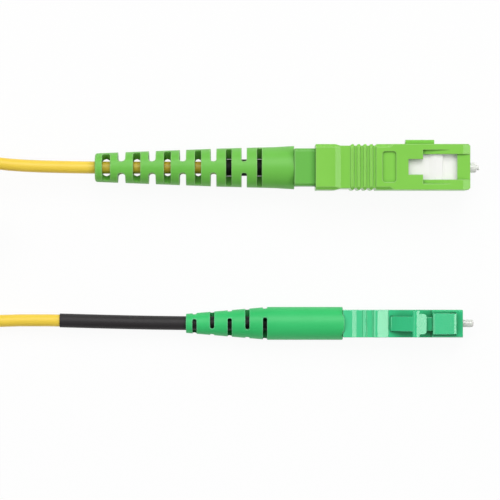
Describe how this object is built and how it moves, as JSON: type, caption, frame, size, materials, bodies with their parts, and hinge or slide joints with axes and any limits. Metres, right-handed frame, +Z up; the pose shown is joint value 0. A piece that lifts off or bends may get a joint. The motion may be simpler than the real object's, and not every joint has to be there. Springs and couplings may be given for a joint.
{
  "type": "fibre optic patch cable",
  "caption": "Simplex fibre patch cord: a square push-pull plug at one end, a small latched plug at the other, slotted strain-relief boots and a tied coil of cable between.",
  "frame": {"origin": "centre of the plugs' and shrink tube's bounding box, on the surface the cord lies on", "axes": "+X out of both plug fronts, +Z up from the surface (latch and trigger side), +Y from the latched plug to the push-pull plug"},
  "size_m": [0.1129, 0.0326, 0.009],
  "materials": {
    "sc_green_gloss": "smooth injection-moulded plastic",
    "sc_boot_green": "soft moulded plastic",
    "frame_white": "smooth white plastic",
    "lc_green_gloss": "smooth injection-moulded plastic",
    "lc_boot_green": "soft moulded plastic",
    "zirconia": "polished zirconia",
    "plated_metal": "plated turned metal",
    "crimp_metal": "plain crimped metal",
    "spring_steel": "drawn wire",
    "black_sleeve": "recovered shrink sleeve",
    "shrink_tube": "recovered shrink tube",
    "buffer": "tight buffer",
    "cable_jacket": "satin extruded jacket",
    "tie": "coated twist tie"
  },
  "bodies": {
    "cord": {"sc_plug_frame": "frame_white", "sc_rear_body": "sc_boot_green", "sc_stop_ring": "plated_metal", "sc_spring": "spring_steel", "sc_crimp_sleeve": "crimp_metal", "sc_inner_sleeve": "black_sleeve", "sc_boot": "sc_boot_green", "sc_fibre": "buffer", "lc_front_housing": "lc_green_gloss", "lc_rear_housing": "lc_green_gloss", "lc_stop_ring": "plated_metal", "lc_spring": "spring_steel", "lc_crimp_sleeve": "crimp_metal", "lc_boot": "lc_boot_green", "lc_shrink_tube": "shrink_tube", "lc_fibre": "buffer", "cable_sc_lead": "cable_jacket", "cable_lc_lead": "cable_jacket", "cable_coil": "cable_jacket", "coil_ties": "tie"},
    "sc_housing": {"sc_outer_housing": "sc_green_gloss"},
    "sc_ferrule_set": {"sc_ferrule": "zirconia", "sc_ferrule_flange": "plated_metal"},
    "lc_ferrule_set": {"lc_ferrule": "zirconia", "lc_ferrule_flange": "plated_metal"},
    "lc_trigger_arm": {"lc_trigger": "lc_green_gloss"},
    "lc_latch_arm": {"lc_latch": "lc_green_gloss"}
  },
  "joints": [
    {"name": "sc_housing_pull", "type": "slide", "parent": "cord", "child": "sc_housing", "axis": [-1, 0, 0], "range_m": [0, 0.002]},
    {"name": "sc_ferrule_push", "type": "slide", "parent": "cord", "child": "sc_ferrule_set", "axis": [-1, 0, 0], "range_m": [0, 0.0015], "stiffness_N_per_m": 400, "deforming": ["sc_spring", "sc_fibre"]},
    {"name": "lc_ferrule_push", "type": "slide", "parent": "cord", "child": "lc_ferrule_set", "axis": [-1, 0, 0], "range_m": [0, 0.001], "stiffness_N_per_m": 400, "deforming": ["lc_spring", "lc_fibre"]},
    {"name": "lc_trigger_press", "type": "hinge", "parent": "cord", "child": "lc_trigger_arm", "pos_m": [0.02006, -0.01363, 0.0048], "axis": [0, 1, 0], "range_deg": [0, 10], "stiffness_Nm_per_rad": 0.0005},
    {"name": "lc_latch_press", "type": "hinge", "parent": "cord", "child": "lc_latch_arm", "pos_m": [0.03001, -0.01363, 0.00495], "axis": [0, -1, 0], "range_deg": [0, 10], "stiffness_Nm_per_rad": 0.0005}
  ],
  "couplings": [
    {"joint": "lc_latch_press", "follows": "lc_trigger_press", "ratio": 0.84}
  ]
}
